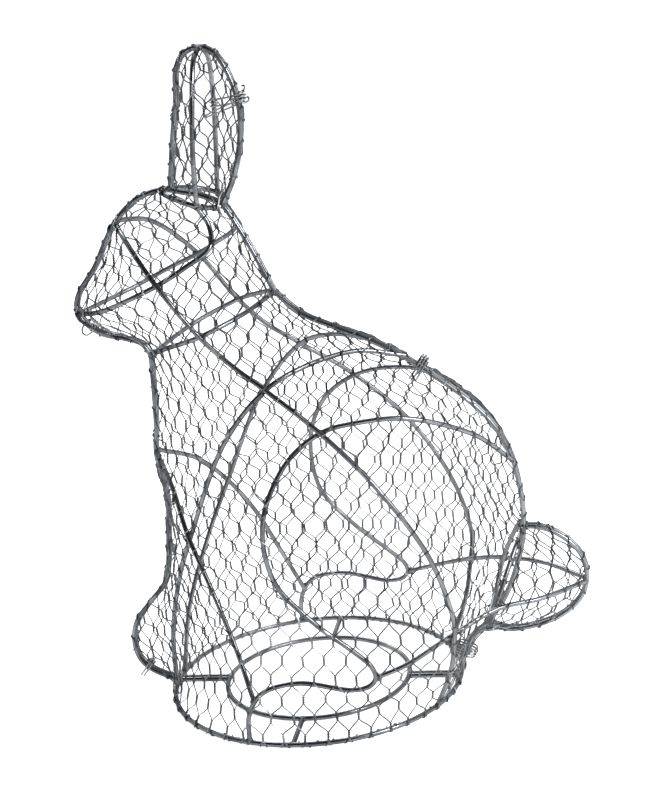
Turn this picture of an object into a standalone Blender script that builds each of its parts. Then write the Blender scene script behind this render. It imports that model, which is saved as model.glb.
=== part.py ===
"""Rabbit topiary frame in galvanised steel rod, built as two mirrored halves.

Each half has its own profile rods down the middle of the animal, bent side
rods, half of each base ring and its own netting. Wire ties hold the halves
together. The nose points to -X, the tail to +X, the rabbit's left side is
-Y, and the base rings rest on z = 0. Routes are in millimetres from the
centre of the base rings, with the distance from the middle plane as their
second number, and the finished object is in metres.
"""
import math

import bmesh
import bpy
import numpy as np
from mathutils import Vector
from mathutils.geometry import delaunay_2d_cdt

MM = 0.001

# Stock and clearances, in millimetres
ROD_DIAMETER = 3.2
ROD_SIDES = 6
TIE_WIRE = 1.6
TIE_SIDES = 4
NET_WIRE = 1.5
GAP = 0.3
SPLINE_STEP = 1.5
CHORD_ERROR = 0.9
WELD_PASSES = 5

# Base rings, in millimetres, and where side rods land on them, in degrees from the tail
RING_RADIUS = 95.0
INNER_RING_RADIUS = 60.5
SIDE_ROD_LANDING = 28.5
SHOULDER_ROD_LANDING = 174.0
FOOT_LANDING = 107.0

# Netting, in millimetres and as shares of the pitch
NET_PITCH = 34.0
NET_ROW_SHARE = 0.9
NET_TWIST_SHARE = 0.47
NET_GRID = 9.0
NET_END = 1.8
NET_STUB = 3.0
PUSH_PASSES = 12

# Ties that hold the two halves together: the profile rod and the point (x, z) that each one grips
TIE_TURNS = 2.0
TIE_STEPS = 8
TIE_PITCH = 2.6
TIE_CLEARANCE = 0.9
TIES = {
    "ear_tie": ("ear_profile", (-10, 381)),
    "back_tie": ("back_profile", (85, 210)),
    "rump_tie": ("back_profile", (100, 19)),
    "paw_tie": ("front_profile", (-118, 13)),
    "chin_tie": ("head_profile", (-124, 248)),
}

# Colours of the two finishes, linear
ROD_COLOUR = (0.33, 0.345, 0.36, 1.0)
WIRE_COLOUR = (0.42, 0.43, 0.44, 1.0)


def corner_radius(width, sides):
    """Corner radius of a polygon with the area of a round section this wide."""
    wedge = math.sin(2 * math.pi / sides) / 2
    return width / 2 * math.sqrt(math.pi / sides / wedge)


ROD_CORNER = corner_radius(ROD_DIAMETER, ROD_SIDES)
TIE_CORNER = corner_radius(TIE_WIRE, TIE_SIDES)
NET_CORNER = NET_WIRE / math.sqrt(3)
ROD_SPACING = 2 * ROD_CORNER + GAP
PROFILE_Y = ROD_SPACING / 2
RING_Z = ROD_CORNER * math.cos(math.pi / ROD_SIDES)

# Landmarks in the middle plane, as (x, z)
THROAT = (-86, 227)
NAPE = (-2, 263)
NOSE_TIP = (-130.5, 262)
CROWN_FRONT = (-66, 331)
CROWN_REAR = (-29, 319)
EAR_TOP = (-32, 414.5)
TAIL_ROOT = (142, 103)
TAIL_TIP = (179.5, 68)
RUMP_LOW = (115, 38)

# Welds where one side rod lies over another: its place, the outer rod and the inner rod
WELDS = {
    "cheek": ((-62.5, 50, 281), "side_rod", "cheek_rod"),
    "neck": ((-39, 51.5, 248.5), "side_rod", "neck_rod"),
    "shoulder": ((-2, 56.5, 215), "side_rod", "shoulder_rod"),
    "haunch": ((30.5, 65.5, 189.5), "side_rod", "haunch_rod"),
    "knee": ((-60.5, 52.5, 124), "foreleg_rod", "shoulder_rod"),
    "hip": ((99, 63.5, 56), "side_rod", "heel_rod"),
    "tail": ((125, 41, 65), "heel_rod", "tail_hoop"),
}


def on_ring(degrees):
    """Point on the centre line of the outer base ring, counted from the tail round the side."""
    turn = math.radians(degrees)
    return RING_RADIUS * math.cos(turn), RING_RADIUS * math.sin(turn), RING_Z


def half_ring(radius):
    """Half a base ring, from just beside the middle plane at the nose to the same at the tail."""
    steps = 2 * math.ceil(math.pi / 4 / math.acos(1 - CHORD_ERROR / radius))
    lean = math.pi / 2 / steps
    start = math.asin((GAP / 2 + ROD_CORNER * math.sin(lean)) / radius)
    turns = [start + (math.pi - 2 * start) * step / steps for step in range(steps + 1)]
    return np.array([(-radius * math.cos(t), radius * math.sin(t), RING_Z) for t in turns])


def spoke(way, aside):
    """Straight bar from the inner ring to the outer one, along way and moved aside."""
    ends = [np.add(np.multiply(radius, way), aside) for radius in (INNER_RING_RADIUS, RING_RADIUS)]
    return np.array([(*end, RING_Z) for end in ends])


def in_profile(points):
    """Middle-plane points moved into the plane of one half's profile rods."""
    return [(x, PROFILE_Y, z) for x, z in points]


# Rods that lie in the profile's plane, as (x, z)
PROFILES = {
    "head_profile": [
        THROAT, (-91, 234.5), (-103, 239), (-115, 242), (-124, 248), (-129, 254.5), NOSE_TIP,
        (-127.5, 270), (-115, 286), (-105, 303), (-97, 314.5), (-83, 326), CROWN_FRONT,
        (-52.5, 328.5), (-41, 325.5), CROWN_REAR, (-21, 306), (-11, 285), NAPE,
    ],
    "front_profile": [
        (-RING_RADIUS, RING_Z), (-107, 6), (-116, 11.5), (-121.5, 19.5), (-123, 32), (-119.5, 44.5), (-108, 58.5),
        (-97, 71), (-92.5, 86), (-90, 105), (-87.5, 130), (-89.5, 150), (-91, 162),
        (-88.5, 182), THROAT,
    ],
    "back_profile": [
        NAPE, (14, 248), (32, 239), (60, 226.5), (86, 209), (113, 187), (129, 168), (138, 147),
        TAIL_ROOT, (137, 80), (128, 57), RUMP_LOW, (104, 27), (97.5, 13),
        (RING_RADIUS, RING_Z),
    ],
    "ear_profile": [
        (-60.5, 329.5), (-55.5, 358), (-50, 385), (-47.5, 403), (-42, 411.5), EAR_TOP,
        (-23, 410), (-15.5, 396), (-11.5, 376), (-14, 354), (-21, 333), CROWN_REAR,
    ],
    "tail_profile": [
        TAIL_ROOT, (152, 102), (166, 95), (176.5, 83), TAIL_TIP, (175, 54), (162, 42),
        (144, 35), (128, 33.5), RUMP_LOW,
    ],
}

# Rods round the sides, as (x, distance from the middle, z) or the name of a weld
SIDE_RODS = {
    "ear_hoop": [
        (*CROWN_FRONT[:1], PROFILE_Y, CROWN_FRONT[1]), (-60, 15, 329.5), (-48, 26, 326.5),
        (-37, 27, 322.5), (-31, 16, 320), (*CROWN_REAR[:1], PROFILE_Y, CROWN_REAR[1]),
    ],
    "ear_rod": [
        (*EAR_TOP[:1], PROFILE_Y, EAR_TOP[1]), (-32, 19, 407), (-33.5, 27, 384),
        (-36, 30, 354), (-38, 27.5, 323),
    ],
    "cheek_rod": [
        (*NOSE_TIP[:1], PROFILE_Y, 256), (-101, 38, 265), (-80, 50, 273.5), "cheek",
        (-46, 43, 289), (-31, 35, 299), (-32, 27, 311), (-38, 27.5, 322.5),
    ],
    "neck_rod": [
        (*THROAT[:1], PROFILE_Y, THROAT[1]), (-66, 32, 238), "neck", (-15, 30, 257),
        (*NAPE[:1], PROFILE_Y, NAPE[1]),
    ],
    "side_rod": [
        (-98, PROFILE_Y, 314), (-84, 32, 307), "cheek", "neck", (-22, 53.5, 231), "shoulder",
        "haunch", (63, 74, 156), (90, 74, 112), (101, 72.5, 73), "hip", (94.5, 54, 28),
        on_ring(SIDE_ROD_LANDING),
    ],
    "shoulder_rod": [
        (76, PROFILE_Y, 218), (49, 16, 226), (20, 40, 224), "shoulder", (-30, 56.5, 184),
        "knee", (-75, 40, 88), (-89, 22, 44), on_ring(SHOULDER_ROD_LANDING),
    ],
    "haunch_rod": [
        (138, PROFILE_Y, 147), (116, 32, 175), (80, 55, 193), (52, 63, 194), "haunch",
        (9, 71, 173), (-6, 83, 141), (-3, 84, 104), (18, 84, 77), (42, 83.5, 56),
        (51, 84, 47), (53, 84.5, 40), (49, 85, 35), (38, 86, 33), (5, 88, 39),
        (-17, 90.5, 33.5), (-26, 91, 20), on_ring(FOOT_LANDING),
    ],
    "foreleg_rod": [
        (-90.5, PROFILE_Y, 163), (-74, 31, 147), "knee", (-47, 68, 95), (-34, 77, 61),
        (-23, 88, 28),
    ],
    "heel_rod": [
        (53, 84.5, 40), (72, 79, 46), "hip", "tail", (151, 30, 65.5), (*TAIL_TIP[:1], PROFILE_Y, 65),
    ],
    "tail_hoop": [
        (*TAIL_ROOT[:1], PROFILE_Y, TAIL_ROOT[1]), (137, 21, 96), "tail", (119, 31, 48),
        (*RUMP_LOW[:1], PROFILE_Y, RUMP_LOW[1]),
    ],
}

# The rods that each rod's first and last ends stop short of
HOSTS = {
    "front_spoke": (["inner_ring"], ["base_ring"]),
    "rear_spoke": (["inner_ring"], ["base_ring"]),
    "side_spoke": (["inner_ring"], ["base_ring"]),
    "front_profile": (["base_ring"], ["head_profile"]),
    "back_profile": (["head_profile"], ["base_ring"]),
    "ear_profile": (["head_profile"], ["head_profile"]),
    "tail_profile": (["back_profile"], ["back_profile"]),
    "ear_hoop": (["head_profile", "ear_profile"], ["head_profile", "ear_profile"]),
    "ear_rod": (["ear_profile"], ["ear_hoop"]),
    "cheek_rod": (["head_profile"], ["ear_hoop", "ear_rod"]),
    "neck_rod": (["head_profile", "front_profile"], ["head_profile", "back_profile"]),
    "side_rod": (["head_profile"], ["base_ring"]),
    "shoulder_rod": (["back_profile"], ["base_ring", "front_profile"]),
    "haunch_rod": (["back_profile"], ["base_ring"]),
    "foreleg_rod": (["front_profile"], ["haunch_rod"]),
    "heel_rod": (["haunch_rod"], ["tail_profile"]),
    "tail_hoop": (["back_profile", "tail_profile"], ["back_profile", "tail_profile"]),
}

# Each net: the rods round its edge with the (x, z) where each stretch begins and ends, and its ribs
RING_FRONT = (-RING_RADIUS, RING_Z)
RING_REAR = (RING_RADIUS, RING_Z)
NETS = {
    "body_net": (
        [("front_profile", RING_FRONT, THROAT), ("head_profile", THROAT, CROWN_FRONT),
         ("ear_hoop", CROWN_FRONT, CROWN_REAR), ("head_profile", CROWN_REAR, NAPE),
         ("back_profile", NAPE, TAIL_ROOT), ("tail_hoop", TAIL_ROOT, RUMP_LOW),
         ("back_profile", RUMP_LOW, RING_REAR), ("base_ring", RING_REAR, RING_FRONT)],
        ["side_rod", "cheek_rod", "neck_rod", "shoulder_rod", "haunch_rod", "foreleg_rod",
         "heel_rod"],
    ),
    "ear_net": (
        [("ear_profile", CROWN_FRONT, CROWN_REAR), ("ear_hoop", CROWN_REAR, CROWN_FRONT)],
        ["ear_rod"],
    ),
    "tail_net": (
        [("tail_profile", TAIL_ROOT, RUMP_LOW), ("tail_hoop", RUMP_LOW, TAIL_ROOT)],
        ["heel_rod"],
    ),
}


def unit(vector):
    return vector / max(np.linalg.norm(vector), 1e-9)


def spans(points):
    """Catmull-Rom spline through the points, as one dense run of points for each span."""
    points = np.array(points, float)
    padded = np.vstack([2 * points[0] - points[1], points, 2 * points[-1] - points[-2]])
    for before, start, end, after in zip(padded, padded[1:], padded[2:], padded[3:]):
        knots = np.cumsum([0] + [
            math.sqrt(max(np.linalg.norm(b - a), 1e-6))
            for a, b in ((before, start), (start, end), (end, after))
        ])
        count = max(2, math.ceil(np.linalg.norm(end - start) / SPLINE_STEP))
        t = np.linspace(knots[1], knots[2], count + 1)[:, None]

        def mix(a, b, first, last):
            return ((last - t) * a + (t - first) * b) / (last - first)

        one = mix(before, start, knots[0], knots[1])
        two = mix(start, end, knots[1], knots[2])
        three = mix(end, after, knots[2], knots[3])
        left = mix(one, two, knots[0], knots[2])
        right = mix(two, three, knots[1], knots[3])
        yield mix(left, right, knots[1], knots[2])


def thinned(run):
    """The run without the points that a chord passes within CHORD_ERROR of."""
    if len(run) < 3:
        return run
    along = unit(run[-1] - run[0])
    off = run - run[0]
    off = np.linalg.norm(off - np.outer(off @ along, along), axis=1)
    worst = int(off.argmax())
    if off[worst] <= CHORD_ERROR:
        return run[[0, -1]]
    return np.vstack([thinned(run[:worst + 1])[:-1], thinned(run[worst:])])


def smooth_path(points):
    """Few points along a smooth curve through the given ones, which all stay on it."""
    runs = [thinned(run) for run in spans(points)]
    return np.vstack([run[:-1] for run in runs] + [runs[-1][-1:]])


def closest(starts_a, ends_a, starts_b, ends_b):
    """Distance between every segment of one set and every segment of another."""
    a, b = starts_a[:, None], starts_b[None]
    u, v = (ends_a - starts_a)[:, None], (ends_b - starts_b)[None]
    w = a - b
    uu, vv, uv = (u * u).sum(-1), (v * v).sum(-1), (u * v).sum(-1)
    uw, vw = (u * w).sum(-1), (v * w).sum(-1)
    determinant = uu * vv - uv * uv
    s = np.where(determinant > 1e-9, (uv * vw - vv * uw) / np.maximum(determinant, 1e-9), 0)
    s = np.clip(s, 0, 1)
    t = np.clip((uv * s + vw) / np.maximum(vv, 1e-9), 0, 1)
    s = np.clip((uv * t - uw) / np.maximum(uu, 1e-9), 0, 1)
    apart = w + s[..., None] * u - t[..., None] * v
    return np.linalg.norm(apart, axis=-1)


def path_distance(path, other):
    return closest(path[:-1], path[1:], other[:-1], other[1:]).min()


def weld_outward(name, routes):
    """Direction square to both rods at a weld, away from the middle plane."""
    place, outer, inner = WELDS[name]
    chords = []
    for rod in (outer, inner):
        route = routes[rod]
        spot = route.index(name)
        ends = [WELDS[p][0] if isinstance(p, str) else p for p in (route[spot - 1], route[spot + 1])]
        chords.append(np.subtract(ends[1], ends[0]))
    outward = unit(np.cross(*chords))
    return outward if outward[1] > 0 else -outward


def side_paths():
    """Paths of the side rods, the two rods of every weld one rod spacing apart."""
    outward = {name: weld_outward(name, SIDE_RODS) for name in WELDS}
    lift = dict.fromkeys(WELDS, ROD_SPACING / 2)

    def placed(point, rod):
        if not isinstance(point, str):
            return point
        place, outer, _ = WELDS[point]
        way = 1 if rod == outer else -1
        return np.array(place) + way * lift[point] * outward[point]

    for _ in range(WELD_PASSES):
        paths = {
            rod: smooth_path([placed(point, rod) for point in route])
            for rod, route in SIDE_RODS.items()
        }
        for name, (_, outer, inner) in WELDS.items():
            lift[name] += (ROD_SPACING - path_distance(paths[outer], paths[inner])) / 2
    return paths


def point_to_path(point, path):
    """Vector from a point to the nearest place on a path."""
    starts, along = path[:-1], path[1:] - path[:-1]
    share = ((point - starts) * along).sum(1) / (along * along).sum(1)
    nearest = starts + np.clip(share, 0, 1)[:, None] * along
    away = nearest - point
    return away[np.linalg.norm(away, axis=1).argmin()]


def stopped_short(path, hosts):
    """The path with its last end cut back until the rod's end face clears every host."""
    path = list(path)
    while True:
        end, back = path[-1], path[-2]
        heading = unit(end - back)
        short = 0.0
        for host in hosts:
            away = point_to_path(end, host)
            reach = math.sqrt(max(0.0, 1 - (heading @ unit(away)) ** 2))
            needed = ROD_CORNER * (1 + reach) + GAP
            short = max(short, needed - np.linalg.norm(away))
        if short < 0.01:
            return np.array(path)
        step = max(0.02, min(short, 0.25))
        if np.linalg.norm(end - back) > 2 * step:
            path[-1] = end - step * heading
        else:
            path.pop()


def rod_paths():
    """Every rod of one half: the name of the rod and the points of its centre line."""
    paths = {
        "base_ring": half_ring(RING_RADIUS),
        "inner_ring": half_ring(INNER_RING_RADIUS),
        "front_spoke": spoke((-1, 0), (0, PROFILE_Y)),
        "rear_spoke": spoke((1, 0), (0, PROFILE_Y)),
        "side_spoke": spoke((0, 1), (0, 0)),
    }
    paths |= {rod: smooth_path(in_profile(route)) for rod, route in PROFILES.items()}
    paths |= side_paths()
    for rod, (first, last) in HOSTS.items():
        path = stopped_short(paths[rod], [paths[host] for host in last])
        paths[rod] = stopped_short(path[::-1], [paths[host] for host in first])[::-1]
    return paths


def stretch(path, first, last):
    """The stretch of a path between the points nearest to two (x, z) places."""
    begin, end = (
        int(np.linalg.norm(path[:, [0, 2]] - place, axis=1).argmin()) for place in (first, last)
    )
    return path[begin:end + 1] if begin < end else path[end:begin + 1][::-1]


def inside(points, outline):
    """Whether each (x, z) point lies inside the closed outline."""
    x, z = points[:, 0, None], points[:, 1, None]
    x0, z0 = outline.T
    x1, z1 = np.roll(outline, -1, axis=0).T
    with np.errstate(divide="ignore", invalid="ignore"):
        hit = ((z0 > z) != (z1 > z)) & (x < (x1 - x0) * (z - z0) / (z1 - z0) + x0)
    return hit.sum(axis=1) % 2 == 1


def flat_gaps(points, starts, ends):
    """For each (x, z) point, the distance to each flat segment and the share along it."""
    along = ends - starts
    share = ((points[:, None] - starts) * along).sum(-1) / (along * along).sum(-1)
    share = np.clip(share, 0, 1)
    nearest = starts + share[..., None] * along
    return np.linalg.norm(points[:, None] - nearest, axis=-1), share


def skin(edge, ribs):
    """Surface stretched over a net's edge and ribs like a soap film: points and triangles."""
    outline = edge[:, [0, 2]]
    starts = np.vstack([edge] + [rib[:-1] for rib in ribs])
    ends = np.vstack([np.roll(edge, -1, axis=0)] + [rib[1:] for rib in ribs])
    flat = [0, 2]
    low, high = outline.min(axis=0), outline.max(axis=0)
    grid = [np.arange(low[i] + NET_GRID / 2, high[i], NET_GRID) for i in (0, 1)]
    points = np.array([(x, z) for x in grid[0] for z in grid[1]])
    points = points[inside(points, outline)]
    gaps, _ = flat_gaps(points, starts[:, flat], ends[:, flat])
    points = points[gaps.min(axis=1) > NET_GRID / 3]
    count = len(points)
    corners = np.vstack([points, starts[:, flat], ends[:, flat]])
    pairs = [(count + i, count + len(starts) + i) for i in range(len(starts))]
    found = delaunay_2d_cdt([Vector(p) for p in corners], pairs, [], 0, GAP)
    flat_points, faces = np.array(found[0]), np.array(found[2])
    faces = faces[inside(flat_points[faces].mean(axis=1), outline)]
    used = np.unique(faces)
    faces = np.searchsorted(used, faces)
    flat_points = flat_points[used]
    gaps, share = flat_gaps(flat_points, starts[:, flat], ends[:, flat])
    heights = starts[:, 1] + share * (ends[:, 1] - starts[:, 1])
    on_rod = gaps < GAP
    height = np.where(on_rod, heights, 0).max(axis=1)
    return film(flat_points, faces, height, on_rod.any(axis=1)), faces


def film(flat_points, faces, height, held):
    """The points with the free ones pulled to the mean height of their neighbours."""
    size = len(flat_points)
    pull = np.zeros((size, size))
    for a, b in ((0, 1), (1, 2), (2, 0)):
        i, j = faces[:, a], faces[:, b]
        weight = 1 / np.maximum(np.linalg.norm(flat_points[i] - flat_points[j], axis=1), 1)
        np.add.at(pull, (i, j), weight)
        np.add.at(pull, (j, i), weight)
    matrix = np.diag(pull.sum(axis=1)) - pull
    matrix[held] = np.eye(size)[held]
    height = np.linalg.solve(matrix, np.where(held, height, 0))
    return np.column_stack([flat_points[:, 0], height, flat_points[:, 1]])


def unrolled(points, faces):
    """Each point's place on the surface laid flat with little stretch, upright and to scale."""
    mesh = bpy.data.meshes.new("unrolled")
    mesh.from_pydata(points.tolist(), [], faces.tolist())
    guide = bpy.data.objects.new("unrolled", mesh)
    bpy.context.collection.objects.link(guide)
    bpy.context.view_layer.objects.active = guide
    guide.select_set(True)
    mesh.uv_layers.new(name="flat")
    bpy.ops.object.mode_set(mode="EDIT")
    bpy.ops.mesh.select_all(action="SELECT")
    bpy.ops.uv.unwrap(method="MINIMUM_STRETCH", margin=0, iterations=60)
    bpy.ops.object.mode_set(mode="OBJECT")
    laid = np.zeros((len(points), 2))
    for loop, place in zip(mesh.loops, mesh.uv_layers["flat"].data):
        laid[loop.vertex_index] = place.uv
    bpy.data.objects.remove(guide)
    bpy.data.meshes.remove(mesh)
    sides = points[faces[:, 1]] - points[faces[:, 0]], points[faces[:, 2]] - points[faces[:, 0]]
    real = np.linalg.norm(np.cross(*sides), axis=1).sum()
    flat = laid[faces[:, 1]] - laid[faces[:, 0]], laid[faces[:, 2]] - laid[faces[:, 0]]
    drawn = flat[0][:, 0] * flat[1][:, 1] - flat[0][:, 1] * flat[1][:, 0]
    laid *= math.sqrt(real / abs(drawn.sum()))
    laid -= laid.mean(axis=0)
    up = unit(np.linalg.lstsq(laid, points[:, 2] - points[:, 2].mean(), rcond=None)[0])
    return np.column_stack([laid @ (up[1], -up[0]), laid @ up])


def located(places, laid, points, faces):
    """Points of the surface at places on the flat layout, and whether each one is on it."""
    a, b, c = (laid[faces[:, i]] for i in range(3))
    whole = np.cross(b - a, c - a)
    result = np.zeros((len(places), 3))
    found = np.zeros(len(places), bool)
    for row, place in enumerate(places):
        first = np.cross(b - place, c - place) / whole
        second = np.cross(c - place, a - place) / whole
        third = 1 - first - second
        least = np.minimum(np.minimum(first, second), third)
        best = int(least.argmax())
        found[row] = least[best] > -1e-6
        weights = np.array((first[best], second[best], third[best]))
        result[row] = weights @ points[faces[best]]
    return result, found


def hexagons(low, high):
    """Corners and edges of netting over a flat rectangle, its twisted sides upright."""
    row, twist = NET_PITCH * NET_ROW_SHARE, NET_PITCH * NET_TWIST_SHARE
    corners, number, edges = [], {}, []
    rows = range(math.floor(low[1] / row) - 1, math.ceil(high[1] / row) + 2)
    columns = range(math.floor(low[0] / NET_PITCH) - 1, math.ceil(high[0] / NET_PITCH) + 2)
    for j in rows:
        for i in columns:
            x = (i + 0.5 * (j % 2) + 0.5) * NET_PITCH
            for end in (-1, 1):
                number[i, j, end] = len(corners)
                corners.append((x, j * row + end * twist / 2))
    for i, j, end in number:
        if end > 0:
            edges.append((number[i, j, -1], number[i, j, 1]))
            for beside in (i - 1 + j % 2, i + j % 2):
                if (beside, j + 1, -1) in number:
                    edges.append((number[i, j, 1], number[beside, j + 1, -1]))
    return np.array(corners), np.array(edges)


def net_lines(points, faces):
    """Corners and edges of the netting on a surface, its cut ends stopping short of the edge."""
    laid = unrolled(points, faces)
    corners, edges = hexagons(laid.min(axis=0), laid.max(axis=0))
    places, found = located(corners, laid, points, faces)
    kept = []
    for start, end in edges:
        if found[start] and found[end]:
            kept.append((start, end))
        elif found[start] or found[end]:
            inner, outer = (start, end) if found[start] else (end, start)
            shares = np.linspace(0, 1, 40)[:, None]
            line = corners[inner] + shares * (corners[outer] - corners[inner])
            run, on = located(line, laid, points, faces)
            last = run[on.argmin() - 1]
            length = np.linalg.norm(last - places[inner]) - NET_END
            if length > NET_STUB:
                kept.append((inner, len(places)))
                stub = places[inner] + length * unit(last - places[inner])
                places = np.vstack([places, stub])
    used, index = np.unique(np.array(kept), return_inverse=True)
    return largest_piece(places[used], index.reshape(-1, 2))


def largest_piece(corners, edges):
    """The biggest joined piece of a net."""
    group = np.arange(len(corners))
    for _ in range(len(corners)):
        before = group.copy()
        np.minimum.at(group, edges[:, 0], group[edges[:, 1]])
        np.minimum.at(group, edges[:, 1], group[edges[:, 0]])
        if (group == before).all():
            break
    biggest = np.bincount(group).argmax()
    used = np.flatnonzero(group == biggest)
    edges = edges[group[edges[:, 0]] == biggest]
    return corners[used], np.searchsorted(used, edges)


def pushed_out(corners, edges, rods):
    """The net's corners moved outward until every wire lies clear of every rod."""
    starts = np.vstack([path[:-1] for path, _ in rods])
    ends = np.vstack([path[1:] for path, _ in rods])
    reach = np.concatenate([[corner] * (len(path) - 1) for path, corner in rods])
    outward = np.array((0.0, 1.0, 0.0))
    for _ in range(PUSH_PASSES):
        a, b = corners[edges[:, 0]], corners[edges[:, 1]]
        short = (reach + NET_CORNER + GAP - closest(a, b, starts, ends)).max(axis=1)
        if short.max() <= 0:
            break
        move = np.zeros(len(corners))
        np.maximum.at(move, edges[:, 0], short)
        np.maximum.at(move, edges[:, 1], short)
        corners = corners + np.maximum(move, 0)[:, None] * outward
    return corners


def half_nets(paths, ties):
    """Corners and edges of each net of one half."""
    rods = [(path, ROD_CORNER) for path in paths.values()] + [(path, TIE_CORNER) for path in ties]
    rise = ROD_CORNER + GAP + NET_CORNER
    nets = {}
    for name, (stretches, ribs) in NETS.items():
        edge = np.vstack([stretch(paths[rod], first, last) for rod, first, last in stretches])
        points, faces = skin(edge, [paths[rib] for rib in ribs])
        points[:, 1] += rise
        corners, edges = net_lines(points, faces)
        nets[name] = pushed_out(corners, edges, rods), edges
    return nets


def frame_along(path, closed_up=(0.0, 0.0, 1.0)):
    """Heading, side and lift of a section carried along a path without twist."""
    heads = [unit(b - a) for a, b in zip(path, path[1:])]
    heads = [heads[0]] + [unit(a + b) for a, b in zip(heads, heads[1:])] + [heads[-1]]
    lift = np.array(closed_up)
    if abs(heads[0] @ lift) > 0.9:
        lift = np.array((0.0, 1.0, 0.0))
    frames = []
    for head in heads:
        side = unit(np.cross(head, lift))
        lift = np.cross(side, head)
        frames.append((head, side, lift))
    return frames


def add_tube(mesh, path, corner, sides):
    """Closed tube of flat sides along a path, one flat facing down where the path is level."""
    rings = []
    heads = [unit(b - a) for a, b in zip(path, path[1:])]
    for spot, (point, (head, side, lift)) in enumerate(zip(path, frame_along(path))):
        bend = heads[max(spot - 1, 0)] @ heads[min(spot, len(heads) - 1)]
        stretch_out = 1 / max(math.sqrt((1 + bend) / 2), 0.5)
        turn = heads[min(spot, len(heads) - 1)] - heads[max(spot - 1, 0)]
        inward = unit(turn) if np.linalg.norm(turn) > 1e-6 else np.zeros(3)
        ring = []
        for step in range(sides):
            angle = 2 * math.pi * (step + 0.5 * (sides % 4 == 0)) / sides
            offset = corner * (math.cos(angle) * side + math.sin(angle) * lift)
            offset = offset + (stretch_out - 1) * (offset @ inward) * inward
            ring.append(mesh.verts.new((point + offset) * MM))
        rings.append(ring)
    for one, two in zip(rings, rings[1:]):
        for step in range(sides):
            after = (step + 1) % sides
            mesh.faces.new((one[step], one[after], two[after], two[step]))
    mesh.faces.new(rings[0][::-1])
    mesh.faces.new(rings[-1])


def add_net(mesh, corners, edges):
    """Three-sided wires joined at their corners, with the ridge of each wire outward."""
    arms = [[] for _ in corners]
    for start, end in edges:
        arms[start].append(end)
        arms[end].append(start)
    half, height = NET_WIRE / 2, NET_WIRE * math.sqrt(3) / 2
    ridge, valley = {}, {}
    for corner, ends in enumerate(arms):
        ways = {end: unit(corners[end] - corners[corner]) for end in ends}
        normal = net_normal(list(ways.values()))
        side = unit(np.cross(normal, next(iter(ways.values()))))
        ahead = np.cross(side, normal)
        order = sorted(ends, key=lambda end: math.atan2(ways[end] @ side, ways[end] @ ahead))
        ridge[corner] = mesh.verts.new((corners[corner] + normal * height * 2 / 3) * MM)
        low = corners[corner] - normal * height / 3
        for spot, end in enumerate(order):
            after = order[(spot + 1) % len(order)]
            left = unit(np.cross(normal, ways[end]))
            if len(order) == 1:
                valley[corner, end, 1] = mesh.verts.new((low + half * left) * MM)
                valley[corner, end, -1] = mesh.verts.new((low - half * left) * MM)
                continue
            right = -unit(np.cross(normal, ways[after]))
            between = unit(left + right)
            if len(order) == 2 and np.linalg.norm(left + right) < 0.2:
                between = left
            lean = max(between @ left, 0.4)
            place = mesh.verts.new((low + half / lean * between) * MM)
            valley[corner, end, 1] = place
            valley[corner, after, -1] = place
        if len(order) == 1:
            end = order[0]
            mesh.faces.new((ridge[corner], valley[corner, end, 1], valley[corner, end, -1]))
        elif len(order) > 2:
            mesh.faces.new([valley[corner, end, 1] for end in order[::-1]])
    for start, end in edges:
        left = valley[start, end, 1], valley[end, start, -1]
        right = valley[start, end, -1], valley[end, start, 1]
        top = ridge[start], ridge[end]
        mesh.faces.new((left[0], left[1], right[1], right[0]))
        mesh.faces.new((top[0], top[1], left[1], left[0]))
        mesh.faces.new((right[0], right[1], top[1], top[0]))


def net_normal(ways):
    """Outward direction of the net at a corner, from the wires that leave it."""
    if len(ways) == 1:
        normal = np.cross(ways[0], np.cross((0.0, 1.0, 0.0), ways[0]))
        return unit(normal)
    normal = np.zeros(3)
    for one, two in zip(ways, ways[1:] + ways[:1]):
        cross = np.cross(one, two)
        normal += cross if cross[1] >= 0 else -cross
    return unit(normal)


def tie_path(profile, place):
    """Coil of wire round both profile rods at a place on one of them."""
    spot = int(np.linalg.norm(profile[:, [0, 2]] - place, axis=1).argmin())
    spot = min(max(spot, 1), len(profile) - 2)
    heading = unit(profile[spot + 1] - profile[spot - 1])
    centre = point_to_path(np.array((place[0], PROFILE_Y, place[1])), profile)
    centre = centre + (place[0], PROFILE_Y, place[1])
    centre[1] = 0
    across = np.cross(heading, (0.0, 1.0, 0.0))
    clear = ROD_CORNER + TIE_CLEARANCE + TIE_CORNER
    steps = round(TIE_TURNS * TIE_STEPS)
    points = []
    for step in range(steps + 1):
        turn = 2 * math.pi * step / TIE_STEPS
        shift = TIE_PITCH * (step / TIE_STEPS - TIE_TURNS / 2)
        reach = clear / math.cos(math.pi / TIE_STEPS)
        side = reach * math.cos(turn)
        side += math.copysign(PROFILE_Y, side) if abs(side) > 1e-6 else 0
        points.append(centre + shift * heading + side * np.array((0, 1, 0))
                      + reach * math.sin(turn) * across)
    return np.array(points)


def material(name, colour, roughness):
    """Zinc-coated steel with this colour and roughness."""
    finish = bpy.data.materials.new(name)
    finish.use_nodes = True
    shader = finish.node_tree.nodes["Principled BSDF"]
    shader.inputs["Base Color"].default_value = colour
    shader.inputs["Metallic"].default_value = 1.0
    shader.inputs["Roughness"].default_value = roughness
    finish.diffuse_color = colour
    return finish


def add_object(name, mesh, finish, parent):
    """Node made from the mesh, shaded smooth round its sides, under the centre of the rings."""
    bmesh.ops.recalc_face_normals(mesh, faces=mesh.faces)
    data = bpy.data.meshes.new(name)
    mesh.to_mesh(data)
    mesh.free()
    data.materials.append(finish)
    data.shade_smooth()
    data.set_sharp_from_angle(angle=math.radians(65))
    node = bpy.data.objects.new(name, data)
    node.parent = parent
    bpy.context.collection.objects.link(node)


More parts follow.
